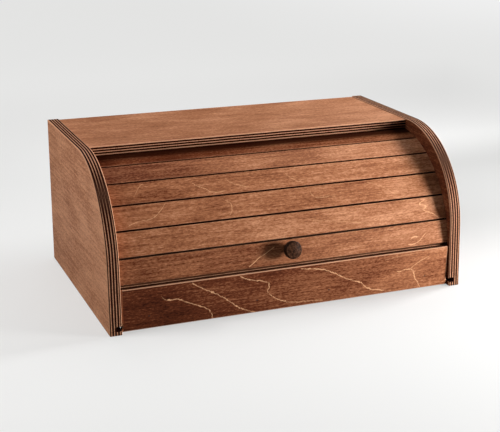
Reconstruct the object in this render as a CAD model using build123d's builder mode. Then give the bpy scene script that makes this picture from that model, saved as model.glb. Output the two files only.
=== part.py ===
"""Bread box with a roll front above and a drawer below, in stained birch plywood.

Millimetres. X runs along the length, -Y is the front, +Z is up, and the foot of the box is Z = 0.
The sides carry everything: the shelf and the floor sit in straight grooves, the back in a rebate,
the top on dowels, and the ends of the roll front's slats run in a round groove.
"""

import os
from math import acos, asin, atan, atan2, ceil, cos, degrees, radians, sin, sqrt

from build123d import *

# ---------------------------------------------------------------- the box
box_length = 380.0
box_depth = 236.0
box_height = 158.0
side_thickness = 12.5
top_thickness = 9.2
top_setback = 106.0  # its front edge, behind the front of the foot
top_drop = 0.9  # the top lies this much below the sides' top edges
back_thickness = 6.0
back_foot = 1.0  # the back stops this far above the table
shelf_thickness = 4.0
shelf_height = 40.0  # its underside above the table
floor_thickness = 4.0
floor_height = 4.3  # its underside above the table
panel_setback = 10.7  # front edges of the shelf and the floor, behind the front of the foot
edge_round = 1.0  # sanded edges of the sides and of the top

# ---------------------------------------------------------------- the sides' outline and joints
front_radius = 99.0  # the round of the front
round_setback = 3.5  # its foremost place, behind the front of the foot
rebate_depth = 6.0  # for the back, into the side's thickness
shelf_groove_depth = 4.0
floor_groove_depth = 6.0
groove_fit = 0.2  # play above a panel in its groove
end_fit = 0.3  # play at the bottom of a groove or a hole

# ---------------------------------------------------------------- dowels and brads
dowel_diameter = 6.0
dowel_in_side = 8.0
dowel_in_top = 16.0
dowel_fit = 0.05
dowel_count = 3  # at each end of the top
dowel_margin = 20.0  # from the top's front and back edges to the nearest dowel
brad_width = 1.2  # flat wire, with a head that is wider one way
brad_breadth = 1.0
brad_head_width = 2.0
brad_head_height = 0.6
brad_length = 16.0
brad_set = 0.4  # driven this far below the surface
brad_fit = 0.02
back_brad_heights = (22.0, 96.0, 134.0)

# ---------------------------------------------------------------- the roll front
slat_width = 23.95
slat_thickness = 5.0
slat_round = 0.6
slat_seam = 0.7  # between two slats, at the canvas
slat_cover = 0.5  # at least this much of a slat stays under the top of the closed box
track_radius = 111.0  # to the outer corners of the slats
roll_setback = 7.5  # its foremost place, behind the front of the foot
track_play = 0.45  # on each face of a slat
track_depth = 6.0
slat_end_play = 0.5
roll_top_gap = 0.5  # below the top
roll_seat = 1.45  # the closed roll front above the shelf
roll_travel = 66.3  # degrees, until the knob meets the top
track_end_play = 1.0
canvas_thickness = 0.6
canvas_margin = 6.0  # from each side

# ---------------------------------------------------------------- the knob and its screw
knob_offset = -3.3  # along the box, from its middle
knob_rise = 2.85  # above the middle of its slat
knob_diameter = 18.0
knob_length = 15.0
knob_foot_diameter = 10.0
knob_foot_length = 1.6
knob_cove = 1.8  # from the foot in to the neck, along the knob
knob_neck_diameter = 7.6
knob_neck_length = 1.6
knob_flare = 2.4  # from the neck out to the head
knob_back_bevel = 1.6  # of the head, both ways
knob_front_bevel = 1.0
knob_shoulder = 1.0  # second, flatter bevel of the front
knob_crown = 0.5  # rise of the front's middle
knob_flat_diameter = 7.0  # in the middle of the front
screw_diameter = 3.5
screw_head_diameter = 7.0
screw_in_knob = 10.0
screw_fit = 0.3  # around the screw in the slat
pilot_fit = 0.02  # around it in the knob

# ---------------------------------------------------------------- the drawer
drawer_front_thickness = 6.0
drawer_front_setback = 3.8
drawer_front_foot = 0.8  # above the table
drawer_front_drop = 0.6  # below the shelf's upper face
drawer_front_round = 1.6
drawer_gap = 1.0  # on each side
drawer_lift = 0.2  # above the floor
drawer_headroom = 0.8  # below the shelf
drawer_back_gap = 0.5
drawer_wall = 6.0
drawer_bottom_thickness = 4.0
drawer_bottom_height = 3.3  # above the lower edges of the drawer's sides
drawer_groove_depth = 3.0
tenon_length = 3.0
tenon_thickness = 3.0
tenon_shoulder = 8.0  # above and below the tenon
tenon_fit = 0.1
finger_count = 5
drawer_brad_places = (-150.0, -39.0, 39.0, 150.0)

# ---------------------------------------------------------------- places that follow from them
inner = box_length / 2 - side_thickness  # the sides' inner faces, from the middle
top_face = box_height - top_drop
top_underside = top_face - top_thickness
shelf_face = shelf_height + shelf_thickness
floor_face = floor_height + floor_thickness

# The slats are chords of one circle, so the whole roll front turns about the circle's centre. Their
# outer corners lie on the track radius, and their inner faces meet at the canvas.
track_z = top_underside - roll_top_gap - track_radius
face_radius = sqrt(track_radius**2 - (slat_width / 2) ** 2)  # to the middle of a slat's outer face
seam_radius = face_radius - slat_thickness  # to the middle of its inner face
slat_angle = 2 * degrees(atan(slat_width / 2 / seam_radius))
pitch_angle = slat_angle + degrees(slat_seam / seam_radius)
closed_angle = degrees(asin((shelf_face + roll_seat - track_z) / track_radius))
slat_half_length = inner + track_depth - slat_end_play
track_setback = roll_setback + track_radius  # of the circle's centre
top_edge_angle = degrees(acos((track_setback - top_setback) / track_radius))
slat_count = ceil((top_edge_angle - closed_angle) / pitch_angle + slat_cover)

# The knob stands square to the lowest slat, and its front reaches out before the foot, most at the
# lower edge of its flat. The middle of the depth is taken with the knob.
knob_angle = radians(closed_angle + pitch_angle / 2)
knob_lowest = knob_flat_diameter / 2 - knob_rise
knob_front = (face_radius + knob_length) * cos(knob_angle) + knob_lowest * sin(knob_angle)
knob_reach = knob_front - track_setback
front = -(box_depth - knob_reach) / 2  # front of the foot
back = front + box_depth
back_face = back - back_thickness  # the back's inner face
panel_front = front + panel_setback
top_front = front + top_setback
top_depth = back - top_front
track_y = front + track_setback

os.makedirs("parts", exist_ok=True)


def around(radius, angle):
    """A place on the track's circle, from the front (0 degrees) over the top (90) to the back."""
    return (
        track_y - radius * cos(radians(angle)),
        track_z + radius * sin(radians(angle)),
    )


def slat_plane(number, radius):
    """The plane of slat `number` at this distance from the centre, facing outwards."""
    angle = closed_angle + (number - 0.5) * pitch_angle
    y, z = around(radius, angle)
    outwards = (0, -cos(radians(angle)), sin(radians(angle)))
    return Plane(origin=(0, y, z), x_dir=(1, 0, 0), z_dir=outwards)


# The groove follows the middle of the slats' thickness, from the closed roll front's lower edge to
# where its upper edge arrives when it is open. A round cutter makes it, so its ends are round.
groove_outer = track_radius + track_play
groove_inner = seam_radius - track_play
groove_width = groove_outer - groove_inner
groove_middle = (groove_outer + groove_inner) / 2
groove_end_play = degrees(track_end_play / groove_middle)
groove_start = closed_angle - groove_end_play
groove_sweep = slat_count * pitch_angle + roll_travel + 2 * groove_end_play

# ---------------------------------------------------------------- the sides
# The front edge leans back from the foot and runs into the round without a corner.
to_centre = Vector(round_setback + front_radius, box_height - front_radius)
straight_length = sqrt(to_centre.length**2 - front_radius**2)
straight_angle = atan2(to_centre.Y, to_centre.X) + asin(front_radius / to_centre.length)
foot = Vector(front, 0)
round_start = foot + Vector(cos(straight_angle), sin(straight_angle)) * straight_length
round_end = foot + Vector(to_centre.X, box_height)

dowel_height = top_underside + top_thickness / 2
dowel_step = (top_depth - 2 * dowel_margin) / (dowel_count - 1)
dowel_places = [
    (top_front + dowel_margin + i * dowel_step, dowel_height) for i in range(dowel_count)
]
back_brad_x = inner + rebate_depth / 2
side_inner_plane = Plane.YZ.offset(-inner)

# the holes that the back's brads make on the left, seen from behind
with BuildPart() as back_brad_holes:
    with BuildSketch(Plane.XZ.offset(-back)):
        with Locations(*[(-back_brad_x, z) for z in back_brad_heights]):
            Rectangle(brad_breadth + 2 * brad_fit, brad_width + 2 * brad_fit)
    extrude(amount=brad_set + brad_length)
    with BuildSketch(Plane.XZ.offset(-back)):
        with Locations(*[(-back_brad_x, z) for z in back_brad_heights]):
            Rectangle(brad_breadth + 2 * brad_fit, brad_head_width + 2 * brad_fit)
    extrude(amount=brad_set + brad_head_height + brad_fit)

with BuildPart() as left_side:
    with BuildSketch(Plane.YZ.offset(-box_length / 2)):
        with BuildLine():
            straight = Line(foot, round_start)
            TangentArc(round_start, round_end, tangent=straight % 1)
            Polyline(round_end, (back, box_height), (back, 0), foot)
        make_face()
    extrude(amount=side_thickness)
    fillet(left_side.faces().filter_by(Axis.X).edges(), radius=edge_round)
    # round groove of the roll front
    groove_line = CenterArc(
        (track_y, track_z), groove_middle, 180 - groove_start, -groove_sweep, mode=Mode.PRIVATE
    )
    with BuildSketch(side_inner_plane):
        SlotArc(groove_line, height=groove_width)
    extrude(amount=-track_depth, mode=Mode.SUBTRACT)
    # shelf groove, stopped behind the front edge
    with BuildSketch(side_inner_plane):
        with Locations((panel_front, shelf_height)):
            Rectangle(
                back_face - panel_front,
                shelf_thickness + groove_fit,
                align=(Align.MIN, Align.MIN),
            )
    extrude(amount=-shelf_groove_depth, mode=Mode.SUBTRACT)
    # floor groove, open at the front edge
    with BuildSketch(side_inner_plane):
        with Locations((back_face, floor_height)):
            Rectangle(
                box_depth,
                floor_thickness + groove_fit,
                align=(Align.MAX, Align.MIN),
            )
    extrude(amount=-floor_groove_depth, mode=Mode.SUBTRACT)
    # rebate for the back
    with BuildSketch(side_inner_plane):
        with Locations((back, 0)):
            Rectangle(back_thickness, top_underside, align=(Align.MAX, Align.MIN))
    extrude(amount=-rebate_depth, mode=Mode.SUBTRACT)
    # holes for the top's dowels
    with BuildSketch(side_inner_plane):
        with Locations(*dowel_places):
            Circle(dowel_diameter / 2 + dowel_fit)
    extrude(amount=-(dowel_in_side + end_fit), mode=Mode.SUBTRACT)
    add(back_brad_holes.part, mode=Mode.SUBTRACT)
left_side.part.label = "left_side"
export_step(left_side.part, "parts/left_side.step")

with BuildPart() as right_side:
    mirror(left_side.part, about=Plane.YZ)
right_side.part.label = "right_side"
export_step(right_side.part, "parts/right_side.step")

# ---------------------------------------------------------------- the top and its dowels
with BuildPart() as top_panel:
    with BuildSketch(Plane.XY.offset(top_underside)):
        with Locations((0, back)):
            Rectangle(2 * inner, top_depth, align=(Align.CENTER, Align.MAX))
    extrude(amount=top_thickness)
    fillet(top_panel.edges().filter_by(Axis.X).group_by(Axis.Y)[0], radius=edge_round)
    with BuildSketch(side_inner_plane):
        with Locations(*dowel_places):
            Circle(dowel_diameter / 2 + dowel_fit)
    dowel_holes = extrude(amount=dowel_in_top + end_fit, mode=Mode.SUBTRACT)
    mirror(dowel_holes, about=Plane.YZ, mode=Mode.SUBTRACT)
top_panel.part.label = "top_panel"
export_step(top_panel.part, "parts/top_panel.step")

with BuildPart() as top_dowels:
    with BuildSketch(side_inner_plane.offset(-dowel_in_side)):
        with Locations(*dowel_places):
            Circle(dowel_diameter / 2)
    extrude(amount=dowel_in_side + dowel_in_top)
    mirror(about=Plane.YZ)
top_dowels.part.label = "top_dowels"
export_step(top_dowels.part, "parts/top_dowels.step")

# ---------------------------------------------------------------- shelf, floor and back
with BuildPart() as shelf:
    with BuildSketch(Plane.XY.offset(shelf_height)):
        with Locations((0, panel_front)):
            Rectangle(
                2 * (inner + shelf_groove_depth - end_fit),
                back_face - panel_front,
                align=(Align.CENTER, Align.MIN),
            )
    extrude(amount=shelf_thickness)
shelf.part.label = "shelf"
export_step(shelf.part, "parts/shelf.step")

with BuildPart() as floor_panel:
    with BuildSketch(Plane.XY.offset(floor_height)):
        with Locations((0, panel_front)):
            Rectangle(
                2 * (inner + floor_groove_depth - end_fit),
                back_face - panel_front,
                align=(Align.CENTER, Align.MIN),
            )
    extrude(amount=floor_thickness)
floor_panel.part.label = "floor_panel"
export_step(floor_panel.part, "parts/floor_panel.step")

with BuildPart() as back_panel:
    with BuildSketch(Plane.XZ.offset(-back)):
        with Locations((0, back_foot)):
            Rectangle(
                2 * (inner + rebate_depth - end_fit),
                top_underside - back_foot,
                align=(Align.CENTER, Align.MIN),
            )
    extrude(amount=back_thickness)
    add(back_brad_holes.part, mode=Mode.SUBTRACT)
    mirror(back_brad_holes.part, about=Plane.YZ, mode=Mode.SUBTRACT)
back_panel.part.label = "back_panel"
export_step(back_panel.part, "parts/back_panel.step")

with BuildPart() as back_brads:
    with BuildSketch(Plane.XZ.offset(brad_set - back)):
        with Locations(*[(-back_brad_x, z) for z in back_brad_heights]):
            Rectangle(brad_breadth, brad_width)
    extrude(amount=brad_length - end_fit)
    with BuildSketch(Plane.XZ.offset(brad_set - back)):
        with Locations(*[(-back_brad_x, z) for z in back_brad_heights]):
            Rectangle(brad_breadth, brad_head_width)
    extrude(amount=brad_head_height)
    mirror(about=Plane.YZ)
back_brads.part.label = "back_brads"
export_step(back_brads.part, "parts/back_brads.step")

# ---------------------------------------------------------------- the knob's place on the lowest slat
knob_base = slat_plane(1, face_radius)
outwards = knob_base.z_dir
knob_origin = knob_base.origin + Vector(knob_offset, 0, 0) + knob_base.y_dir * knob_rise
knob_plane = Plane(origin=knob_origin, x_dir=(1, 0, 0), z_dir=outwards)
knob_section = Plane(origin=knob_origin, x_dir=(1, 0, 0), z_dir=-knob_plane.y_dir)
knob_axis = Axis(knob_origin, outwards)
screw_hole_plane = Plane(
    origin=knob_origin - outwards * slat_thickness, x_dir=(1, 0, 0), z_dir=-outwards
)

# ---------------------------------------------------------------- the slats
for number in range(1, slat_count + 1):
    outer_plane = slat_plane(number, face_radius)
    with BuildPart() as slat:
        with BuildSketch(outer_plane):
            Rectangle(2 * slat_half_length, slat_width)
        extrude(amount=-slat_thickness)
        outer_face = slat.faces().sort_by(Axis(outer_plane.origin, outer_plane.z_dir))[-1]
        fillet(outer_face.edges().filter_by(Axis.X), radius=slat_round)
        if number == 1:
            with Locations(screw_hole_plane):
                CounterSinkHole(
                    radius=screw_diameter / 2 + screw_fit,
                    counter_sink_radius=screw_head_diameter / 2 + screw_fit,
                    depth=slat_thickness,
                    counter_sink_angle=90,
                )
    slat.part.label = f"slat_{number}"
    export_step(slat.part, f"parts/slat_{number}.step")

# ---------------------------------------------------------------- the canvas behind them
# One strip of canvas, creased at the seams, lies against all the inner faces.
crease_radius = seam_radius / cos(radians(pitch_angle / 2))
crease_angles = [closed_angle + i * pitch_angle for i in range(slat_count + 1)]
canvas_inner_radius = crease_radius - canvas_thickness / cos(radians(pitch_angle / 2))
with BuildPart() as canvas:
    with BuildSketch(Plane.YZ):
        with BuildLine():
            outer_creases = [around(crease_radius, angle) for angle in crease_angles]
            inner_creases = [around(canvas_inner_radius, angle) for angle in reversed(crease_angles)]
            Polyline(*outer_creases, *inner_creases, close=True)
        make_face()
    extrude(amount=inner - canvas_margin, both=True)
    with BuildSketch(screw_hole_plane):
        Circle(screw_head_diameter / 2 + screw_fit)
    extrude(amount=canvas_thickness, both=True, mode=Mode.SUBTRACT)
canvas.part.label = "canvas"
export_step(canvas.part, "parts/canvas.step")

# ---------------------------------------------------------------- the knob, turned in one piece
# From the slat: a small foot, a cove in to the neck, a flare out under the head, a bevelled edge and
# a slightly raised front.
knob_radius = knob_diameter / 2
flat_radius = knob_flat_diameter / 2
shoulder_radius = knob_radius - knob_front_bevel - knob_shoulder
neck_start = knob_foot_length + knob_cove
neck_end = neck_start + knob_neck_length
head_start = neck_end + knob_flare
front_start = knob_length - knob_crown
shoulder_start = front_start - knob_shoulder / 2
with BuildPart() as knob:
    with BuildSketch(knob_section):
        with BuildLine():
            Polyline(
                (0, 0),
                (knob_foot_diameter / 2, 0),
                (knob_foot_diameter / 2, knob_foot_length),
                (knob_neck_diameter / 2, neck_start),
                (knob_neck_diameter / 2, neck_end),
                (knob_radius - knob_back_bevel, head_start),
                (knob_radius, head_start + knob_back_bevel),
                (knob_radius, shoulder_start - knob_front_bevel),
                (knob_radius - knob_front_bevel, shoulder_start),
                (shoulder_radius, front_start),
                (flat_radius, knob_length),
                (0, knob_length),
                close=True,
            )
        make_face()
    revolve(axis=knob_axis)
    with BuildSketch(knob_plane):
        Circle(screw_diameter / 2 + pilot_fit)
    extrude(amount=screw_in_knob + end_fit, mode=Mode.SUBTRACT)
knob.part.label = "knob"
export_step(knob.part, "parts/knob.step")

screw_radius = screw_diameter / 2
screw_head_radius = screw_head_diameter / 2
with BuildPart() as knob_screw:
    with BuildSketch(knob_section):
        with BuildLine():
            Polyline(
                (0, -slat_thickness),
                (screw_head_radius, -slat_thickness),
                (screw_radius, screw_head_radius - screw_radius - slat_thickness),
                (screw_radius, screw_in_knob - screw_radius),
                (0, screw_in_knob),
                close=True,
            )
        make_face()
    revolve(axis=knob_axis)
knob_screw.part.label = "knob_screw"
export_step(knob_screw.part, "parts/knob_screw.step")

# ---------------------------------------------------------------- the drawer
drawer_low = floor_face + drawer_lift
drawer_high = shelf_height - drawer_headroom
drawer_height = drawer_high - drawer_low
drawer_middle = (drawer_high + drawer_low) / 2
drawer_half = inner - drawer_gap
drawer_front_face = front + drawer_front_setback
drawer_box_front = drawer_front_face + drawer_front_thickness
drawer_rear = back_face - drawer_back_gap
drawer_back_face = drawer_rear - drawer_wall
drawer_inner_half = drawer_half - drawer_wall
bottom_low = drawer_low + drawer_bottom_height
bottom_half = drawer_inner_half + drawer_groove_depth - end_fit
bottom_front = drawer_box_front - drawer_groove_depth + end_fit
bottom_rear = drawer_back_face + drawer_groove_depth - end_fit
finger_height = drawer_height / finger_count
side_fingers = range(0, finger_count, 2)
back_fingers = range(1, finger_count, 2)
drawer_brad_height = bottom_low + drawer_bottom_thickness / 2
drawer_front_plane = Plane.XZ.offset(-drawer_front_face)
tenon_middle = drawer_half - drawer_wall / 2


# the room that the drawer's bottom takes in the four walls
with BuildPart() as bottom_groove:
    with BuildSketch(Plane.XY.offset(bottom_low)):
        with Locations((0, bottom_front - end_fit)):
            Rectangle(
                2 * (bottom_half + end_fit),
                bottom_rear - bottom_front + 2 * end_fit,
                align=(Align.CENTER, Align.MIN),
            )
    extrude(amount=drawer_bottom_thickness + groove_fit)

# the holes that the brads make in the front and in the bottom's edge
with BuildPart() as drawer_brad_holes:
    with BuildSketch(drawer_front_plane):
        with Locations(*[(x, drawer_brad_height) for x in drawer_brad_places]):
            Rectangle(brad_width + 2 * brad_fit, brad_breadth + 2 * brad_fit)
    extrude(amount=-(brad_set + brad_length))
    with BuildSketch(drawer_front_plane):
        with Locations(*[(x, drawer_brad_height) for x in drawer_brad_places]):
            Rectangle(brad_head_width + 2 * brad_fit, brad_breadth + 2 * brad_fit)
    extrude(amount=-(brad_set + brad_head_height + brad_fit))

with BuildPart() as drawer_front:
    with BuildSketch(drawer_front_plane):
        with Locations((0, drawer_front_foot)):
            Rectangle(
                2 * drawer_half,
                shelf_face - drawer_front_drop - drawer_front_foot,
                align=(Align.CENTER, Align.MIN),
            )
    extrude(amount=-drawer_front_thickness)
    fillet(drawer_front.faces().sort_by(Axis.Y)[0].edges(), radius=drawer_front_round)
    add(bottom_groove.part, mode=Mode.SUBTRACT)
    # mortises for the tenons of the drawer's sides
    with BuildSketch(drawer_front_plane.offset(-drawer_front_thickness)):
        with Locations(*[(side * tenon_middle, drawer_middle) for side in (-1, 1)]):
            Rectangle(
                tenon_thickness + 2 * tenon_fit, drawer_height - 2 * (tenon_shoulder - tenon_fit)
            )
    extrude(amount=tenon_length + end_fit, mode=Mode.SUBTRACT)
    add(drawer_brad_holes.part, mode=Mode.SUBTRACT)
drawer_front.part.label = "drawer_front"
export_step(drawer_front.part, "parts/drawer_front.step")

with BuildPart() as drawer_left_side:
    with BuildSketch(Plane.XY.offset(drawer_low)):
        with Locations((-drawer_half, drawer_box_front)):
            Rectangle(
                drawer_wall, drawer_rear - drawer_box_front, align=(Align.MIN, Align.MIN)
            )
    extrude(amount=drawer_height)
    # stub tenon into the drawer's front
    with BuildSketch(Plane.XZ.offset(-drawer_box_front)):
        with Locations((-tenon_middle, drawer_middle)):
            Rectangle(tenon_thickness, drawer_height - 2 * tenon_shoulder)
    extrude(amount=tenon_length)
    # slots between the fingers
    with BuildSketch(Plane.YZ.offset(-drawer_half)):
        with Locations(*[(drawer_rear, drawer_low + i * finger_height) for i in back_fingers]):
            Rectangle(drawer_wall, finger_height, align=(Align.MAX, Align.MIN))
    extrude(amount=drawer_wall, mode=Mode.SUBTRACT)
    add(bottom_groove.part, mode=Mode.SUBTRACT)
drawer_left_side.part.label = "drawer_left_side"
export_step(drawer_left_side.part, "parts/drawer_left_side.step")

with BuildPart() as drawer_right_side:
    mirror(drawer_left_side.part, about=Plane.YZ)
drawer_right_side.part.label = "drawer_right_side"
export_step(drawer_right_side.part, "parts/drawer_right_side.step")

with BuildPart() as drawer_back:
    with BuildSketch(Plane.XY.offset(drawer_low)):
        with Locations((0, drawer_rear)):
            Rectangle(2 * drawer_half, drawer_wall, align=(Align.CENTER, Align.MAX))
    extrude(amount=drawer_height)
    with BuildSketch(Plane.XZ.offset(-drawer_rear)):
        with Locations(*[(-drawer_half, drawer_low + i * finger_height) for i in side_fingers]):
            Rectangle(drawer_wall, finger_height, align=(Align.MIN, Align.MIN))
    finger_slots = extrude(amount=drawer_wall, mode=Mode.SUBTRACT)
    mirror(finger_slots, about=Plane.YZ, mode=Mode.SUBTRACT)
    add(bottom_groove.part, mode=Mode.SUBTRACT)
drawer_back.part.label = "drawer_back"
export_step(drawer_back.part, "parts/drawer_back.step")

with BuildPart() as drawer_bottom:
    with BuildSketch(Plane.XY.offset(bottom_low)):
        with Locations((0, bottom_front)):
            Rectangle(
                2 * bottom_half, bottom_rear - bottom_front, align=(Align.CENTER, Align.MIN)
            )
    extrude(amount=drawer_bottom_thickness)
    add(drawer_brad_holes.part, mode=Mode.SUBTRACT)
drawer_bottom.part.label = "drawer_bottom"
export_step(drawer_bottom.part, "parts/drawer_bottom.step")

with BuildPart() as drawer_brads:
    with BuildSketch(drawer_front_plane.offset(-brad_set)):
        with Locations(*[(x, drawer_brad_height) for x in drawer_brad_places]):
            Rectangle(brad_width, brad_breadth)
    extrude(amount=end_fit - brad_length)
    with BuildSketch(drawer_front_plane.offset(-brad_set)):
        with Locations(*[(x, drawer_brad_height) for x in drawer_brad_places]):
            Rectangle(brad_head_width, brad_breadth)
    extrude(amount=-brad_head_height)
drawer_brads.part.label = "drawer_brads"
export_step(drawer_brads.part, "parts/drawer_brads.step")

print("roll front turns about y", round(track_y, 3), "z", round(track_z, 3))
print("front of the foot", round(front, 3), "back", round(back, 3))
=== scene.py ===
# %% [markdown]
# # A plywood bread box with a roll front and a drawer
#
# The box comes in as finished solids: two round-fronted sides, a top, seven slats, a knob and a
# drawer. Their shapes are right already, so most of the work here is finish. Birch plywood that
# has been stained red-brown has to look right on three kinds of surface: the broad veneer faces,
# the striped edges where the plies end, and the sanded corners between them.

from math import cos, pi, radians, sin

import bpy
from mathutils import Matrix, Vector


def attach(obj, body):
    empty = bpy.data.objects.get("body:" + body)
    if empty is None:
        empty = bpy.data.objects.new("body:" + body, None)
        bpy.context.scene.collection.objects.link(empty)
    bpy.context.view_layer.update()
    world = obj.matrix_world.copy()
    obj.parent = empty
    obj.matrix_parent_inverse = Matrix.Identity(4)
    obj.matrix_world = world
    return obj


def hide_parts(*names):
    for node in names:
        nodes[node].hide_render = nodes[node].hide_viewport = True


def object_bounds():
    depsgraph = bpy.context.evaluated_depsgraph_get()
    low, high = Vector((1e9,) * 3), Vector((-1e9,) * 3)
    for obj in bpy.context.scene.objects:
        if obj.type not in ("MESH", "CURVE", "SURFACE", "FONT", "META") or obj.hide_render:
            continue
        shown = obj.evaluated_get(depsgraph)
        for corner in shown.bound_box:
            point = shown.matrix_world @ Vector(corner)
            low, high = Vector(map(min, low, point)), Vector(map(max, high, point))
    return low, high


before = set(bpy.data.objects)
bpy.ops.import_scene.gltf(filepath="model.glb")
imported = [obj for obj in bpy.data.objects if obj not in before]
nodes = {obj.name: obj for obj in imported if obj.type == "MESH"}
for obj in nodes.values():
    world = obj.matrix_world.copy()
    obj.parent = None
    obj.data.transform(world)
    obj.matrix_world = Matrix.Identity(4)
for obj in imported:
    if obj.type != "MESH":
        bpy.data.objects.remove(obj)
cad_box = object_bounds()
bpy.ops.object.select_all(action="DESELECT")
print("nodes", len(nodes), "box", cad_box)

# %% [markdown]
# ## The camera
#
# The camera stands to the left of the box and looks down on it a little, through a long lens, so
# that the long edges run nearly parallel. Its place was worked out from the straight edges of the
# box, and the turn is written as three angles, as in the object's own panel.

# %% Camera
camera_place = (-0.4349, -1.0639, 0.4286)
camera_turn = (72.36, -0.372, -22.03)  # degrees
camera_lens = 81.03  # millimetres
camera_sensor = 36

camera = bpy.data.objects.new("camera", bpy.data.cameras.new("camera"))
bpy.context.collection.objects.link(camera)
camera.location = camera_place
camera.rotation_euler = [radians(angle) for angle in camera_turn]
camera.data.lens = camera_lens
camera.data.sensor_width = camera_sensor
bpy.context.scene.camera = camera
bpy.context.scene.view_settings.view_transform = "Standard"
print("camera", tuple(round(c, 3) for c in camera.location))

# %% [markdown]
# ## Writing shader maths as sums
#
# A material is a small program, and node by node it is hard to read. The class below wraps one
# output socket, so that `grain * 0.5 + 0.2` adds the Math nodes by itself. Most other nodes come
# from one method that takes the node's type, its settings and the values of its sockets.

# %% A socket that sums and products can be written with


class Socket:
    """An output socket of a material's node tree."""

    def __init__(self, tree, output):
        self.tree = tree
        self.output = output

    def node(self, kind, settings=None, inputs=None, output=0):
        """Add a node, set it, then feed its sockets with numbers, colours or other sockets."""
        made = self.tree.nodes.new(kind)
        for key, value in (settings or {}).items():
            if key == "stops":
                fill_ramp(made.color_ramp, value)
            elif key == "points":
                fill_curve(made.mapping, value)
            else:
                setattr(made, key, value)
        for key, value in (inputs or {}).items():
            if isinstance(value, Socket):
                self.tree.links.new(value.output, made.inputs[key])
            else:
                made.inputs[key].default_value = value
        return Socket(self.tree, made.outputs[output])

    def maths(self, operation, first, second=0.0):
        return self.node("ShaderNodeMath", {"operation": operation}, {0: first, 1: second})

    def __add__(self, other):
        return self.maths("ADD", self, other)

    def __sub__(self, other):
        return self.maths("SUBTRACT", self, other)

    def __rsub__(self, other):
        return self.maths("SUBTRACT", other, self)

    def __mul__(self, other):
        return self.maths("MULTIPLY", self, other)

    def __truediv__(self, other):
        return self.maths("DIVIDE", self, other)

    def __mod__(self, other):
        return self.maths("FLOORED_MODULO", self, other)

    def __abs__(self):
        return self.maths("ABSOLUTE", self)

    def floor(self):
        return self.maths("FLOOR", self)

    def at_most(self, other):
        return self.maths("MINIMUM", self, other)

    def at_least(self, other):
        return self.maths("MAXIMUM", self, other)

    def ramp(self, low, high, start=0.0, end=1.0):
        """Go smoothly from `start` to `end` while this goes from `low` to `high`."""
        if low > high:
            low, high, start, end = high, low, end, start
        settings = {"interpolation_type": "SMOOTHSTEP"}
        ends = {0: self, 1: low, 2: high, 3: start, 4: end}
        return self.node("ShaderNodeMapRange", settings, ends)

    def split(self):
        """The three parts of a vector."""
        parts = self.tree.nodes.new("ShaderNodeSeparateXYZ")
        self.tree.links.new(self.output, parts.inputs[0])
        return [Socket(self.tree, part) for part in parts.outputs]

    def scaled(self, x, y, z, shift=(0.0, 0.0, 0.0)):
        """A vector stretched along its own axes, then moved."""
        inputs = {"Vector": self, "Location": shift, "Scale": (x, y, z)}
        return self.node("ShaderNodeMapping", {"vector_type": "POINT"}, inputs)

    def noise(self, size, detail=2.0, roughness=0.5, warp=0.0):
        """Noise whose lumps are about `size` across, in the units of this place."""
        inputs = {"Vector": self, "Scale": 1 / size, "Detail": detail}
        inputs |= {"Roughness": roughness, "Distortion": warp}
        return self.node("ShaderNodeTexNoise", None, inputs)

    def mix(self, amount, first, second):
        """Blend two colours, whose sockets on a Mix node are numbers 6, 7 and, out, 2."""
        settings = {"data_type": "RGBA", "clamp_factor": True}
        return self.node("ShaderNodeMix", settings, {0: amount, 6: first, 7: second}, output=2)

    def colours(self, *stops):
        """A colour for each value from 0 to 1."""
        return self.node("ShaderNodeValToRGB", {"stops": stops}, {0: self})


def fill_ramp(ramp, stops):
    """Give a colour ramp its stops."""
    while len(ramp.elements) < len(stops):
        ramp.elements.new(1.0)
    for element, (position, colour) in zip(ramp.elements, stops):
        element.position = position
        element.color = colour


def fill_curve(mapping, points):
    """Give a curve its points, from left to right."""
    curve = mapping.curves[0]
    while len(curve.points) < len(points):
        curve.points.new(0.5, 0.5)
    for point, place in zip(curve.points, points):
        point.location = place
        point.handle_type = "AUTO"
    mapping.update()


def srgb(red, green, blue):
    """A colour given as it looks on the screen, 0 to 255, as the linear one that shaders use."""
    values = [channel / 255 for channel in (red, green, blue)]
    linear = [v / 12.92 if v <= 0.04045 else ((v + 0.055) / 1.055) ** 2.4 for v in values]
    return (*linear, 1.0)


def new_material(name):
    """An empty material: the material, its main shader and the object's own coordinates."""
    material = bpy.data.materials.new(name)
    material.use_nodes = True
    shader = material.node_tree.nodes["Principled BSDF"]
    place = material.node_tree.nodes.new("ShaderNodeTexCoord")
    return material, shader, Socket(material.node_tree, place.outputs["Object"])


def feed(shader, socket_name, value):
    """Join a socket to an input of the main shader."""
    value.tree.links.new(value.output, shader.inputs[socket_name])


def bump(shader, height, strength, distance):
    """Small relief from a height, with its depth in metres."""
    inputs = {"Strength": strength, "Distance": distance, "Height": height}
    feed(shader, "Normal", height.node("ShaderNodeBump", None, inputs))


def dress(node, material):
    """Put one material on a node of the model."""
    nodes[node].data.materials.clear()
    nodes[node].data.materials.append(material)


print("shader maths ready")

# %% [markdown]
# ## Finding how each board lies
#
# Plywood has a direction: the veneer's grain runs one way, and the plies are counted through the
# thickness. A board's thickness direction is the normal that covers the most area, which works for
# an upright side, a flat top and a tilted slat alike. With the grain's direction it gives a frame
# for the board: u along the grain, v across it and w up through the plies. A Mapping node of type
# Texture then measures every place in that frame, in millimetres from the middle of the board's
# inner face.

# %% The frame of a board
MM = 0.001
box_middle = (cad_box[0] + cad_box[1]) / 2


def broad_normal(mesh):
    """The direction that most of a board's surface faces, one way or the other."""
    area = {}
    for face in mesh.polygons:
        way = 1 if max(face.normal, key=abs) > 0 else -1
        key = tuple(round(c * way, 3) for c in face.normal)
        area[key] = area.get(key, 0) + face.area
    return Vector(max(area, key=area.get)).normalized()


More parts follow.
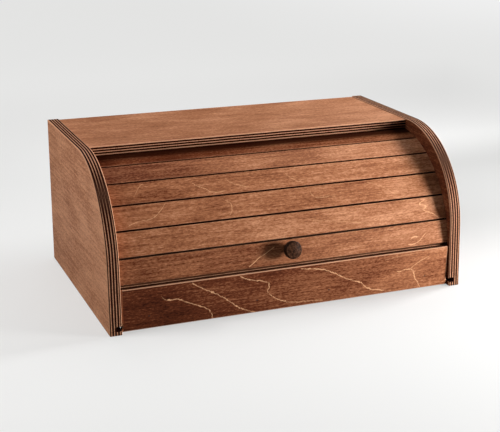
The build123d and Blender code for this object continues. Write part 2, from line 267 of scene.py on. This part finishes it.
def board_frame(node, grain):
    """The middle of a board's inner face, the turn of its frame, and its size, in metres."""
    mesh = nodes[node].data
    along = Vector(grain)
    through = broad_normal(mesh)
    middle = sum((vertex.co for vertex in mesh.vertices), Vector()) / len(mesh.vertices)
    if through.dot(middle - box_middle) < 0:
        through = -through
    turn = Matrix((along, through.cross(along), through)).transposed()
    local = [turn.transposed() @ vertex.co for vertex in mesh.vertices]
    low = [min(place[axis] for place in local) for axis in range(3)]
    high = [max(place[axis] for place in local) for axis in range(3)]
    inner = turn @ Vector(((low[0] + high[0]) / 2, (low[1] + high[1]) / 2, low[2]))
    return inner, turn, Vector(high) - Vector(low)


front_to_back = (0, 1, 0)
along_box = (1, 0, 0)
for node, grain in (("left_side", front_to_back), ("slat_1", along_box)):
    print(node, "u, v, w", [round(c / MM, 1) for c in board_frame(node, grain)[2]])

# %% [markdown]
# ## The face of a stained veneer
#
# The stain soaks in where the wood is open. Most of a birch face takes it in a fine mottle, with
# streaks along the grain and slow drifts between redder and more golden wood. The veneer is
# peeled from the log like paper from a roll, so the year rings show as thin lines that wander over
# the face, and because the hard late wood takes no stain, they stay pale. Contour lines of a
# slowly changing noise wander in the same way.

# %% The stain and the veneer
darkest_stain_and_shade = srgb(50, 20, 11)
deep_stain = srgb(98, 50, 30)
warm_stain = srgb(158, 102, 70)
golden_stain = srgb(206, 148, 112)
pale_line = srgb(226, 172, 128)
cloud_amount, streak_amount, mottle_amount = 0.9, 1.0, 1.35
stain_range = 1.5  # a depth of -0.5 is the darkest stain and one of 1.0 the most golden
pore_amount = 0.35


def veneer(place, tone, seed, swing, half):
    """The colour and the fine relief of a stained face.

    `place` and `half`, which is half the board's length, are in millimetres, and `tone` is how
    pale the board is. The board goes from darker by `swing` at its start to paler by `swing` at its
    end, which is partly painted light, the fall-off of the lamps along the board, and partly uneven
    stain. Each seed looks at its own part of the noise.
    """
    shifted = place.scaled(1, 1, 1, shift=(seed * 137.0, seed * 71.0, seed * 29.0))
    clouds = shifted.scaled(0.4, 1, 1).noise(24, detail=3, roughness=0.55)
    streaks = shifted.scaled(0.05, 1, 1).noise(2.4, detail=3, roughness=0.6)
    mottle = shifted.scaled(0.35, 1, 1).noise(1.2, detail=2, roughness=0.7)
    pores = shifted.scaled(0.16, 1, 1).noise(0.8, detail=2, roughness=0.6)
    depth = (clouds - 0.5) * cloud_amount + (streaks - 0.5) * streak_amount
    depth = depth + (mottle - 0.5) * mottle_amount
    # The swing from end to end is partly painted light, the fall-off of the lamps along the board,
    # and partly uneven stain.
    depth = depth + place.split()[0].ramp(-half, half, tone - swing, tone + swing)
    stops = ((0.0, darkest_stain_and_shade), (1 / 3, deep_stain), (2 / 3, warm_stain), (1.0, golden_stain))
    base = (depth / stain_range + 1 / 3).colours(*stops)
    base = place.mix(pores.ramp(0.4, 0.25) * pore_amount, base, deep_stain)
    height = streaks * 0.5 + pores * 0.5
    return base, height


ring_swirl = 60  # millimetres that a ring line wanders over
ring_width = 0.05  # as a share of the space between the lines


def rings(place, spacing, seed):
    """Thin wandering contour lines that come and go, 1 on a line and 0 off it."""
    shifted = place.scaled(0.42, 1, 1, shift=(seed * 91.0, seed * 37.0, seed * 53.0))
    across = place.split()[1]
    swirl = shifted.noise(ring_swirl, detail=4, roughness=0.48, warp=0.25) * ring_swirl
    level = (swirl + across) / spacing
    line = abs(level % 1.0 - 0.5).ramp(ring_width, 0.0)
    return line * shifted.noise(34, detail=1).ramp(0.48, 0.66)


print("veneer ready")

# %% [markdown]
# ## The edge of the plywood
#
# On the edges the plies alternate. A ply that is cut across its grain drinks the stain and turns
# nearly black, and the next one, cut along its grain, stays pale. Whether a ply is cut across
# follows from the surface normal, so with nine plies one recipe gives five dark ones on the front
# of a side and four on its top. Halfway round the curve every ply is cut at a slant, and the edge
# turns darker and more even, as on the real box. A thin dark line marks the glue between the
# plies, and the sanded corners between face and edge have lost some stain. The walls of the groove
# for the floor panel, near the foot of each side, are made nearly black, a painted shade.
#
# The top's front edge keeps the upper part of the sixth slat in a deep shadow on the real box.
# The lamps here don't throw it, so a painted shadow darkens that slat's colour between two heights.

# %% The groove for the floor panel
groove_floor, groove_roof, groove_depth = 4.0, 8.6, 6.6  # millimetres
groove_blur = 0.2


def groove_painted_shade(board, place):
    """1 on the walls of the groove near the foot of a side, where shade is painted."""
    z = place.split()[2] / MM
    w = board.split()[2]
    above = z.ramp(groove_floor - groove_blur, groove_floor)
    below = z.ramp(groove_roof + groove_blur, groove_roof)
    return above * below * w.ramp(0.2, 0.7) * w.ramp(groove_depth, groove_depth - groove_blur)


print("groove from", groove_floor, "to", groove_roof, "mm up")

# %% The stripes of an edge
pale_ply = srgb(206, 150, 116)
dark_ply_and_shadow = srgb(34, 10, 4)
slant_to_end = (0.3, 0.85)  # how far a ply is cut across: from pale side grain to dark end grain
glue_from, glue_to, glue_dark = 0.14, 0.4, 0.92  # the first two as shares of a ply
ply_waver = 0.5  # millimetres
fleck_amount = 0.6


def ply_edge(board, along, across, one_ply, plies, edge):
    """The striped colour of an edge, and how far each place on it is end grain.

    `along` and `across` are how far the surface faces along the board's grain and across it.
    """
    wander = board.scaled(0.3, 0.3, 1).noise(6, detail=2) * ply_waver - ply_waver / 2
    depth = (board.split()[2] + wander) / one_ply
    ply = depth.floor().at_least(0.0).at_most(plies - 1.0)
    crossed = ply % 2.0
    cut_across = along * (1 - crossed) + across * crossed
    end_grain = cut_across.ramp(*slant_to_end)
    fleck = board.noise(0.9, detail=2, roughness=0.7)
    pale = board.mix(fleck.ramp(0.42, 0.7) * fleck_amount, edge, deep_stain)
    striped = board.mix(end_grain, pale, dark_ply_and_shadow)
    glue = abs(depth % 1.0 - 0.5).ramp(glue_from, glue_to)
    return board.mix(glue * glue_dark, striped, dark_ply_and_shadow), end_grain


print("edges ready")

# %% Plywood for one board
worn_corner = srgb(216, 164, 130)
sheen = 0.03
painted_shadow_amount = 0.9
face_roughness, relief_roughness, end_roughness = 0.32, 0.25, 0.35


def plywood(node, grain, plies, seed, tone=0.5, swing=0.0, **finish):
    """Stained plywood for one board, put on the board's node.

    The rest of its finish may be the wear of its corners, its edge's pale colour, which on the
    slats is a near-black painted shade of the gaps, the strength and spacing of its ring lines,
    lines drawn through given points, its sheen, and the two heights between which a painted
    shadow darkens its face.
    """
    wear, edge = finish.get("wear", 0.7), finish.get("edge", pale_ply)
    ring, ring_gap = finish.get("ring", 0.35), finish.get("ring_gap", 9.0)
    inner, turn, size = board_frame(node, grain)
    material, shader, place = new_material(f"stained_{node}")
    texture = {"vector_type": "TEXTURE"}
    rotation = turn.to_euler()
    in_board = {"Vector": place, "Location": inner, "Rotation": rotation, "Scale": (MM, MM, MM)}
    board = place.node("ShaderNodeMapping", texture, in_board)
    normal = place.node("ShaderNodeTexCoord", output="Normal")
    in_frame = {"Vector": normal, "Rotation": rotation}
    facing = normal.node("ShaderNodeMapping", texture, in_frame)
    along, across, through = [abs(part) for part in facing.split()]

    one_ply = size.z / MM / plies
    striped, end_grain = ply_edge(board, along, across, one_ply, plies, edge)

    face, height = veneer(board, tone, seed, swing, size.x / MM / 2)
    strength = rings(board, ring_gap, seed) * ring
    faces_front = normal.split()[1].ramp(0.05, -0.05)
    for line in finish.get("lines", ()):
        strength = strength.at_least(line(board) * faces_front)
    face = board.mix(strength, face, pale_line)
    # A painted shadow: between two heights across the board, the face is darkened towards the dark
    # ply colour.
    if "dark_between" in finish:
        shade = board.split()[1].ramp(*finish["dark_between"]) * painted_shadow_amount
        face = board.mix(shade, face, dark_ply_and_shadow)
    colour = board.mix(through.ramp(0.5, 0.3), face, striped)
    corner = through.ramp(0.98, 0.85) * through.ramp(0.2, 0.5)  # neither face nor edge
    colour = board.mix(corner * wear, colour, worn_corner)
    # Painted shade: the walls of the groove near the foot of each side are made nearly black.
    if node in ("left_side", "right_side"):
        colour = board.mix(groove_painted_shade(board, place), colour, darkest_stain_and_shade)

    feed(shader, "Base Color", colour)
    rough = height * relief_roughness + end_grain * end_roughness + face_roughness
    feed(shader, "Roughness", rough)
    bump(shader, height, strength=0.4, distance=0.0001)
    shader.inputs["Specular IOR Level"].default_value = finish.get("sheen", sheen)
    dress(node, material)


print("plywood ready")

# %% [markdown]
# ## Lines where they run on the real box
#
# The drawer's front and the lower slats show long pale ring lines, and they are what an eye
# remembers of the box. Each is drawn as a curve of height over length: a Float Curve node turns
# the place along the board into the height of the line there. A little noise makes it shake as
# a real ring does.

# %% One drawn line
line_shake = 1.5  # millimetres


def drawn(*points, width=0.65, strength=0.85, upright=False):
    """A pale line through points in millimetres along and across the board, from its middle.

    An upright line is drawn as length over height instead, for lines that run across the board.
    """
    first, second = (1, 0) if upright else (0, 1)
    points = sorted(points, key=lambda point: point[first])
    travels = [point[first] for point in points]
    heights = [point[second] for point in points]
    low, span = travels[0], travels[-1] - travels[0]
    bottom, rise = min(heights), max(max(heights) - min(heights), 1.0)
    curve = [((a - low) / span, (b - bottom) / rise) for a, b in zip(travels, heights)]

    def mask(board):
        shake = (board.noise(3.2, detail=3, roughness=0.7) - 0.5) * (2 * line_shake)
        place = board.split()
        travel = (place[first] + shake - low) / span
        height = board.node("ShaderNodeFloatCurve", {"points": curve}, {0: 1.0, 1: travel})
        off = abs(height * rise + bottom - place[second] - shake)
        ends = abs(travel - 0.5).ramp(0.5, 0.5 - 1.5 / span)
        breaks = board.noise(7, detail=2).ramp(0.3, 0.5, 0.35, 1.0)
        return off.ramp(width, width * 0.3) * ends * breaks * strength

    return mask


print("drawn lines shake by", line_shake, "mm")

# %% The lines of the drawer's front and of the slats
drawer_lines = (
    drawn(
        (-138, 12.8), (-133, 5.9), (-120, 4.2), (-112, 0.3), (-102, -4.3), (-93, -8.7), (-87, -14)
    ),
    drawn((-87, -13.5), (-86, -20), upright=True),
    drawn(
        (-107, 19.5), (-92, 9.9), (-77, 1.5), (-67, -6.2), (-58, -13.3), (-51, -16.8), (-40, -21)
    ),
    drawn((-58, 19.6), (-47, 14.3), (-35, 11.5), (-28, 9)),
    drawn((-27.5, 9.4), (-26.6, 3.3), (-27.8, 0.9), (-26.5, -3.1), upright=True),
    drawn((-26.8, -2.6), (-20.6, -7.9), (-14, -12), (-7.3, -13.6)),
    drawn(
        (-25, -4.1), (-18.6, -9.1), (-10.3, -13.7), (2.3, -16.2), (16, -17), (33, -18.7),
        strength=0.5,
    ),
    drawn(
        (7, 18.4), (30, 14.8), (44, 9.4), (53, 4.2), (64, -0.9), (76, -6), (83, -12.4),
        (103, -17.5),
    ),
    drawn((116, 3.3), (120.5, 0.6), (126.5, 1.9), (132.5, 1.1), (137, -1.6)),
    drawn((136.8, -1.2), (137.6, -7.3), (142.5, -15.2), (145, -20.6), upright=True),
    drawn((132.4, 1.8), (141.2, 7.7), (154.5, 13), strength=0.6),
    drawn((102, 15.5), (124, 17.6), (142, 18.8), strength=0.3),
)
slat_lines = {
    "slat_1": (
        drawn(
            (-46.6, -10.5), (-39.3, -5.8), (-35.2, -2.6), (-30.9, -0.8), (-24.6, 2.7), (-17.5, 6.4)
        ),
        drawn((130.7, -9.1), (137.2, -9.4), (143.3, -7.5), (149.5, -2.1), (153.7, 1.8)),
        drawn((134.6, -3.4), (139.6, -1.8), (143.1, -3.1), width=1.2),
    ),
    "slat_2": (
        drawn((25.7, 2), (59, -2.9), (94, -8.9), strength=0.3),
        drawn(
            (158.7, 10.2), (152.3, 7.7), (149.4, 5.4), (155.7, 3), (151.6, -1),
            width=1.1, upright=True,
        ),
        drawn((151.6, -1), (156.1, -3.3), (160.9, -4.7), (170.3, -12.7)),
    ),
    "slat_3": (
        drawn(
            (-121.2, 11), (-129.1, 2.2), (-138.6, -3.8), (-149.6, -4.9), (-162, -8.4),
            strength=0.6,
        ),
        drawn((-65.8, 10.4), (-58.6, 5.4), (-55.5, 0.8), (-59.8, -9.3), strength=0.5, upright=True),
        drawn((46.7, 10.4), (34.9, 9.2), (31.2, 7.2), (34, -0.3), strength=0.5, upright=True),
        drawn((34, -0.3), (45, -1.5), (52, -0.8), (57.2, -5.3), strength=0.5),
        drawn((94.9, 10.1), (110.1, 3.6), (125.3, -8.9), strength=0.4),
    ),
    "slat_4": (
        drawn((-136.4, 10), (-141.1, 7.3), (-146.1, 0.7), (-150.1, -5.1), strength=0.5),
        drawn((-89.3, 9.9), (-87.1, 3.2), (-79, -2.7), (-69.6, -8.8), (-58.4, -8.5), strength=0.6),
        drawn((-54.5, 9.1), (-50.9, 2.1), (-40.1, -4.3), (-31.2, -7), strength=0.5),
        drawn((9.1, 11), (12.1, 3.1), (19.1, -5), (25.1, -6.6), strength=0.5),
    ),
}
print("drawn lines", len(drawer_lines) + sum(map(len, slat_lines.values())))

# %% [markdown]
# ## The boards of the box
#
# Each board gets the recipe with its own grain, number of plies and seed, so that no two pieces
# look cut from the same place. The drawer's front is darker than most boards, above all at its
# left end. The camera sees the right side only from within and along its edge, where it lies in
# shade, and its low tone is painted shade. The left side's high tone is partly painted light, and
# on both sides the front end is made a little paler, which is painted light too.

# %% Put plywood on the carcass and the drawer
drawer_edge = srgb(128, 78, 52)
drawer_finish = {"ring": 0, "lines": drawer_lines, "edge": drawer_edge}
side_finish = {"plies": 9, "swing": -0.06, "ring_gap": 4}
# The two sides are one plywood, lit and shaded: the left's high tone is partly painted light, the
# right's low tone is painted shade, and the negative swing paints the front ends paler.
plywood("left_side", front_to_back, seed=1, tone=0.76, ring=0.4, **side_finish)
plywood("right_side", front_to_back, seed=2, tone=-0.08, ring=0.25, **side_finish)
plywood("top_panel", along_box, plies=7, seed=3, tone=0.6, swing=0.05)
plywood("shelf", along_box, plies=3, seed=4, tone=0.4)
plywood("floor_panel", along_box, plies=3, seed=5, tone=0.3)
plywood("back_panel", along_box, plies=5, seed=6, tone=0.5)
plywood("drawer_front", along_box, plies=5, seed=7, tone=0.1, swing=0.27, **drawer_finish)
plywood("drawer_left_side", front_to_back, plies=5, seed=8)
plywood("drawer_right_side", front_to_back, plies=5, seed=9)
plywood("drawer_back", along_box, plies=5, seed=10)
plywood("drawer_bottom", along_box, plies=3, seed=11, tone=0.55)
boards = [name for name in bpy.data.materials.keys() if name.startswith("stained_")]
print("plywood on", len(boards), "boards")

# %% Put plywood on the slats
# Painted shade: the slats' edges face into the gaps between them, so their pale plies are made
# nearly black.
gap_edge_shade = srgb(28, 9, 4)
# The difference between a slat's two ends is partly painted light from the lamps at the right. The
# sixth slat's low tone is partly painted shade under the top's front edge.
slat_tones = {  # how pale each slat is, and by how much its two ends differ from that
    "slat_1": (0.38, 0.14),
    "slat_2": (0.54, 0.06),
    "slat_3": (0.48, 0.08),
    "slat_4": (0.49, 0.19),
    "slat_5": (0.43, 0.23),
    "slat_6": (0.08, 0.14),
    "slat_7": (0.2, 0.1),
}
# On the sixth slat a painted shadow darkens the face between two heights, for the shade under the
# top's front edge.
slat_extras = {"slat_6": {"sheen": 0.0, "dark_between": (-5.0, 4.5)}, "slat_7": {"sheen": 0.0}}
first_slat_seed = 12
slat_names = sorted(slat_tones)
for number, name in enumerate(slat_names):
    tone, swing = slat_tones[name]
    finish = {"wear": 0.15, "edge": gap_edge_shade, "ring": 0.15, "lines": slat_lines.get(name, ())}
    finish |= slat_extras.get(name, {})
    seed = first_slat_seed + number
    plywood(name, along_box, plies=3, seed=seed, tone=tone, swing=swing, **finish)
print("plywood on the slats", slat_names)

# %% [markdown]
# ## The track that everything on the roll front follows
#
# The slats lie along one round track. A few numbers give any place on it: the middle of the track,
# the distance from there to the slats' faces, and the angle of a slat above straight ahead. The
# knob and the canvas are both placed with them, in the box's own millimetres.

# %% Places on the track
track_middle = Vector((0, 2.764, 36.4))
face_radius = 110.352
slat_thickness = 5.0
first_seam = radians(4.6766)
slat_pitch = radians(13.35024)


def on_track(radius, angle, x=0.0):
    """A place at a distance from the track's middle, at an angle above straight ahead."""
    return track_middle + Vector((x, -cos(angle) * radius, sin(angle) * radius))


def finish_mesh(piece, smooth_angle):
    """Give a new piece its place in its mesh, closed and facing outwards, and smooth shading."""
    bpy.ops.object.transform_apply(location=True, rotation=True, scale=True)
    bpy.ops.object.mode_set(mode="EDIT")
    bpy.ops.mesh.select_all(action="SELECT")
    bpy.ops.mesh.remove_doubles(threshold=0.00001)
    bpy.ops.mesh.normals_make_consistent(inside=False)
    bpy.ops.object.mode_set(mode="OBJECT")
    bpy.ops.object.shade_smooth_by_angle(angle=radians(smooth_angle))
    print(piece.name, "faces", len(piece.data.polygons))


print("first slat's face", tuple(round(c, 2) for c in on_track(face_radius, first_seam)))

# %% [markdown]
# ## The turned knob
#
# The knob came off a lathe: a small foot, a hollow neck, a head that swells out and rolls over to
# a slightly raised front. On the screen a lathe is a ring of points that is extruded along the
# axis and resized at each step. The steps follow the outline of the real knob, and a subdivision
# rounds the turns between them.

# %% Turn the knob
knob_foot = 5.0  # radius in millimetres
knob_outline = (  # radius and height above the slat, in millimetres
    (knob_foot, 0.25),
    (knob_foot, 1.2),
    (4.7, 1.7),
    (4.1, 2.5),
    (3.75, 3.6),
    (3.8, 4.6),
    (4.4, 5.6),
    (5.7, 6.5),
    (7.4, 7.4),
    (8.5, 8.3),
    (8.9, 8.9),
    (9.0, 9.6),
    (9.0, 12.6),
    (8.85, 13.2),
    (8.2, 13.9),
    (7.6, 14.2),
    (7.2, 14.2),
    (6.9, 14.1),
    (6.5, 14.2),
    (3.5, 14.8),
    (1.2, 14.95),
)
bpy.ops.object.select_all(action="DESELECT")
bpy.ops.mesh.primitive_circle_add(vertices=64, radius=knob_foot * MM, fill_type="NGON")
knob = bpy.context.object
knob.name = "turned_knob"
bpy.ops.object.mode_set(mode="EDIT")
bpy.ops.mesh.select_all(action="SELECT")
radius, height = knob_foot, 0.0
for next_radius, next_height in knob_outline:
    bpy.ops.mesh.extrude_region_move(
        TRANSFORM_OT_translate={"value": (0, 0, (next_height - height) * MM)}
    )
    factor = next_radius / radius
    bpy.ops.transform.resize(value=(factor, factor, 1), center_override=(0, 0, next_height * MM))
    radius, height = next_radius, next_height
bpy.ops.object.mode_set(mode="OBJECT")
rounding = knob.modifiers.new("rounding", "SUBSURF")
rounding.levels = rounding.render_levels = 1
bpy.ops.object.modifier_apply(modifier="rounding")
print("knob turned in", len(knob_outline), "steps")

# %% Set it on the lowest slat
knob_angle = first_seam + slat_pitch / 2
knob_along, knob_rise = -3.3, 2.85
upwards = Vector((0, sin(knob_angle), cos(knob_angle)))
knob.rotation_euler = (pi / 2 - knob_angle, 0, 0)
knob.location = (on_track(face_radius, knob_angle, knob_along) + upwards * knob_rise) * MM
finish_mesh(knob, smooth_angle=50)
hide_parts("knob")
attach(knob, "roll_front")

# %% [markdown]
# ## Dark turned wood
#
# The knob is stained nearly black, with a little brown on the front. Its sides keep only a fifth of
# that brown, a painted shade. The grain runs along the lathe's axis, so on the front it shows as
# small flecks. The turning tool has left fine grooves around it, which are in the relief alone.

# %% Dark wood of the knob
knob_dark = srgb(26, 13, 7)
knob_light = srgb(100, 64, 44)
knob_sheen = 0.04
tool_marks = 1.6  # to the millimetre, along the axis
shaded_side_share = 0.2  # of the brown that the front has
material, shader, place = new_material("dark_turned_wood")
in_knob = {"Vector": place, "Location": tuple(knob.data.vertices[0].co)}
in_knob |= {"Rotation": (pi / 2 - knob_angle, 0, 0), "Scale": (MM, MM, MM)}
turned = place.node("ShaderNodeMapping", {"vector_type": "TEXTURE"}, in_knob)
fine = turned.scaled(1, 1, 0.35).noise(2.2, detail=4, roughness=0.65)
fleck = turned.scaled(1, 1, 0.12).noise(0.9, detail=2)
grooves = abs(turned.split()[2] * tool_marks % 1.0 - 0.5)
amount = fine.ramp(0.3, 0.75) * 0.8 + fleck.ramp(0.55, 0.7) * 0.3
front = place.node("ShaderNodeTexCoord", output="Normal").split()[1].ramp(-0.6, -0.93)
# Painted shade: where the knob faces away from the front, only a share of the brown is kept.
amount = amount * (front * (1 - shaded_side_share) + shaded_side_share)
feed(shader, "Base Color", place.mix(amount, knob_dark, knob_light))
feed(shader, "Roughness", fine * 0.3 + 0.3)
bump(shader, grooves * 0.5 + fleck, strength=0.3, distance=0.00008)
shader.inputs["Specular IOR Level"].default_value = knob_sheen
knob.data.materials.append(material)
dress("knob", material)
print("knob at", tuple(round(c, 4) for c in knob.data.vertices[0].co))

# %% [markdown]
# ## The canvas behind the slats
#
# What turns seven loose slats into a roll is a strip of canvas glued to their backs. It is one
# piece of cloth that creases at every seam, so it is made the way it is laid down: one flat panel
# for the lowest slat, then the far edge extruded from slat to slat. Solidify gives it its
# thickness, and a hole is cut for the head of the knob's screw.

# %% Lay down the canvas
canvas_thickness = 0.6
canvas_width = 343.0
glue_line = 0.02
same_place = 0.0001  # metres
inner_radius = face_radius - slat_thickness - glue_line
crease_radius = inner_radius / cos(slat_pitch / 2)
slat_count = len(slat_names)
creases = [on_track(crease_radius, first_seam + i * slat_pitch) * MM for i in range(slat_count + 1)]
panel = (creases[1] - creases[0]).length
bpy.ops.object.select_all(action="DESELECT")
bpy.ops.mesh.primitive_plane_add(size=1)
canvas = bpy.context.object
canvas.name = "canvas_backing"
rise = creases[1] - creases[0]
canvas.scale = (canvas_width * MM, panel, 1)
canvas.rotation_euler = (Vector((0, 1, 0)).angle(rise), 0, 0)
canvas.location = (creases[0] + creases[1]) / 2
bpy.ops.object.transform_apply(location=True, rotation=True, scale=True)
for start, end in zip(creases[1:], creases[2:]):
    bpy.ops.object.mode_set(mode="EDIT")
    bpy.ops.mesh.select_mode(type="VERT")
    bpy.ops.mesh.select_all(action="DESELECT")
    bpy.ops.object.mode_set(mode="OBJECT")
    for vertex in canvas.data.vertices:
        vertex.select = abs(vertex.co.y - start.y) + abs(vertex.co.z - start.z) < same_place
    bpy.ops.object.mode_set(mode="EDIT")
    bpy.ops.mesh.select_mode(type="EDGE")
    bpy.ops.mesh.extrude_edges_move(TRANSFORM_OT_translate={"value": tuple(end - start)})
    bpy.ops.object.mode_set(mode="OBJECT")
print("canvas panels", len(canvas.data.polygons), "each", round(panel, 5))

# %% Its thickness, and the hole for the screw
away = Vector((0, -cos(knob_angle), sin(knob_angle)))
facing_out = canvas.data.polygons[0].normal.dot(away) > 0
cloth = canvas.modifiers.new("cloth", "SOLIDIFY")
cloth.thickness = canvas_thickness * MM
cloth.offset = -1 if facing_out else 1
bpy.ops.object.modifier_apply(modifier="cloth")
screw_hole, punch_depth = 3.8, 4  # radius and depth in millimetres
screw_place = (on_track(inner_radius, knob_angle, knob_along) + upwards * knob_rise) * MM
turn = (pi / 2 - knob_angle, 0, 0)
bpy.ops.mesh.primitive_cylinder_add(
    vertices=48, radius=screw_hole * MM, depth=punch_depth * MM, location=screw_place, rotation=turn
)
punch = bpy.context.object
bpy.ops.object.select_all(action="DESELECT")
canvas.select_set(True)
bpy.context.view_layer.objects.active = canvas
hole = canvas.modifiers.new("hole", "BOOLEAN")
hole.operation = "DIFFERENCE"
hole.object = punch
bpy.ops.object.modifier_apply(modifier="hole")
bpy.data.objects.remove(punch)
finish_mesh(canvas, smooth_angle=5)
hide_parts("canvas")
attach(canvas, "roll_front")

# %% [markdown]
# ## Woven cotton
#
# Canvas is a plain weave: each thread goes over one and under the next. The cloth's own flat
# coordinates are needed, or the weave would stretch where the roll curves. They are x and the
# distance along the track, which is the angle times the radius. The angle comes from the place by
# an arctangent, so the pattern needs no unwrapping. Two sine waves multiplied make the weave. The
# cloth is made dark brown, a painted shade that keeps the gaps between the slats, where it shows,
# as dark as their shadow, and it is darker still in patches.

# %% Weave
thread = 0.9  # millimetres from one thread to the next
# Both browns of the cloth are this dark as a painted shade for the gaps between the slats.
canvas_pale = srgb(74, 46, 30)
canvas_darker = srgb(40, 22, 14)
canvas_hollow_shade = srgb(70, 44, 28)
canvas_sheen = 0.1
material, shader, place = new_material("cotton_canvas")
x, y, z = place.split()
turned_angle = place.maths("ARCTAN2", z - track_middle.z * MM, track_middle.y * MM - y)
warp = x * (2 * pi / (thread * MM))
weft = turned_angle * (2 * pi * inner_radius / thread)
warp_wave = warp.maths("SINE", warp)
weft_wave = weft.maths("SINE", weft)
over = warp_wave * weft_wave
height = abs(over) * 0.5 + over * 0.5
in_mm = place.scaled(1 / MM, 1 / MM, 1 / MM)
fuzz = in_mm.noise(0.7, detail=3, roughness=0.7)
cloud = in_mm.noise(22, detail=3)
darker_patches = cloud.ramp(0.35, 0.7) * 0.7 + fuzz.ramp(0.3, 0.8) * 0.3
colour = place.mix(darker_patches, canvas_pale, canvas_darker)
# Painted shade: where a thread goes under, its colour is drawn towards the hollow brown.
colour = place.mix(over.ramp(0.1, -0.9) * 0.5, colour, canvas_hollow_shade)
feed(shader, "Base Color", colour)
shader.inputs["Roughness"].default_value = 0.9
shader.inputs["Specular IOR Level"].default_value = canvas_sheen
bump(shader, height + fuzz * 0.3, strength=0.6, distance=0.0002)
canvas.data.materials.append(material)
dress("canvas", material)
print("threads across the canvas", round(canvas_width / thread))

# %% [markdown]
# ## Beech and steel
#
# Pieces that mostly hide. The dowels are plain beech, and the same long fine streaks along the box
# serve as their grain and as scratches on the metal. The back's brads and the screw are plated
# steel, whose shine is a little cloudy. The drawer's brads sit below the face, where they took the
# stain with the wood, so they are dark.

# %% Beech dowels, steel brads and the screw: colour, metal and roughness
for name, colour, metal, rough in (
    ("top_dowels", srgb(214, 182, 140), 0.0, 0.6),
    ("back_brads", srgb(150, 146, 138), 0.9, 0.45),
    ("drawer_brads", srgb(60, 40, 32), 0.4, 0.55),
    ("knob_screw", srgb(190, 188, 180), 1.0, 0.35),
):
    material, shader, place = new_material(f"plain_{name}")
    scratches = place.scaled(0.1 / MM, 1 / MM, 1 / MM).noise(0.5, detail=3)
    cloudy = place.scaled(1 / MM, 1 / MM, 1 / MM).noise(1.5, detail=2)
    darker = [c * 0.7 for c in colour[:3]] + [1]
    feed(shader, "Base Color", place.mix(scratches * 0.6 + cloudy * 0.4, colour, darker))
    feed(shader, "Roughness", cloudy * 0.2 + (rough - 0.1))
    bump(shader, scratches, strength=0.2, distance=0.00003)
    shader.inputs["Metallic"].default_value = metal
    dress(name, material)
    print(name, "metallic", metal, "roughness", rough)

# %% [markdown]
# ## The studio
#
# The floor is one broad plane. What the camera sees of it is mostly its own pale colour, and the
# rest is lit, so that the box still drops a soft shadow on it. Near the lamps the plane is a little
# darker, or it would turn plain white there. The light that the floor sends back to the box is
# that of a greyer floor, which keeps the shadows on the box deep.
#
# Two small lamps at the right, one low and one high, throw the shadow of the right side on the
# slats. Two weak ones behind light the top, and one at the left the left side.

# %% The floor's plane
floor_size, floor_gap = 30, 0.0002  # metres
bpy.ops.mesh.primitive_plane_add(size=floor_size, location=(0, 0, -floor_gap))
floor = bpy.context.object
floor.name = "studio_floor"
bpy.ops.object.transform_apply(location=True, rotation=True, scale=True)
print("floor", tuple(floor.dimensions))

# %% Its colour, lit and seen
floor_pale = srgb(238, 238, 237)
floor_far = srgb(252, 252, 252)
floor_by_lamps = srgb(200, 200, 199)
floor_bounce = srgb(160, 160, 159)
glow_near, glow_gain, glow_mirrored = 0.57, 0.33, 0.15  # the gain comes with the distance
material, shader, place = new_material("pale_floor")
x, y, z = place.split()
near_lamps = x.ramp(0.12, 0.3) * y.ramp(-0.15, 0.1) * y.ramp(0.5, 0.3)
pale = place.mix(near_lamps, floor_pale, floor_by_lamps)
# Further back and to the right the plane is painted paler still: painted light for the studio's
# brighter far side.
pale = place.mix(x.ramp(0.5, 2.0) * y.ramp(0.5, 2.0), pale, floor_far)
rays = place.tree.nodes.new("ShaderNodeLightPath")
seen = Socket(place.tree, rays.outputs["Is Camera Ray"])
glossy = Socket(place.tree, rays.outputs["Is Glossy Ray"])
feed(shader, "Base Color", place.mix(seen, floor_bounce, pale))
shader.inputs["Roughness"].default_value = 0.9
shader.inputs["Specular IOR Level"].default_value = 0.0
own = place.node("ShaderNodeEmission", None, {"Color": pale, "Strength": 1.0})
distance = y.ramp(0.25, 1.2).at_least(x.ramp(0.35, 1.0))
glow = (distance * glow_gain + glow_near) * (seen + glossy * glow_mirrored).at_most(1.0)
lit = Socket(place.tree, shader.outputs[0])
blend = place.node("ShaderNodeMixShader", None, {0: glow, 1: lit, 2: own})
place.tree.links.new(blend.output, place.tree.nodes["Material Output"].inputs["Surface"])
floor.data.materials.append(material)
print("floor shows its own colour by", glow_near, "to", round(glow_near + glow_gain, 2))

# %% Lights
world = bpy.data.worlds.new("studio")
bpy.context.scene.world = world
world.use_nodes = True
background = world.node_tree.nodes["Background"]
rays = world.node_tree.nodes.new("ShaderNodeLightPath")
room = Socket(world.node_tree, rays.outputs["Is Camera Ray"])
room_light = 0.006
room_seen = 0.86
strength = room * (room_seen - room_light) + room_light
world.node_tree.links.new(strength.output, background.inputs["Strength"])
background.inputs["Color"].default_value = (1, 1, 1, 1)
light_target = Vector((0, 0, 0.08))


def area_light(name, place, size, power):
    """A square soft light that looks at the middle of the box and isn't seen itself."""
    bpy.ops.object.light_add(type="AREA", location=place)
    light = bpy.context.object
    light.name = name
    light.data.shape = "SQUARE"
    light.data.size = size
    light.data.energy = power
    light.visible_camera = False
    light.rotation_euler = (light_target - Vector(place)).to_track_quat("-Z", "Y").to_euler()


area_light("low_right", (0.74, -0.58, 0.16), size=0.26, power=13.2)
area_light("high_right", (0.80, 0.03, 0.52), size=0.22, power=8.1)
area_light("behind_right", (0.50, 0.50, 0.70), size=0.4, power=1.6)
area_light("behind", (-0.10, 0.60, 0.80), size=0.5, power=2.3)
area_light("left", (-0.75, -0.02, 0.54), size=0.35, power=3.9)
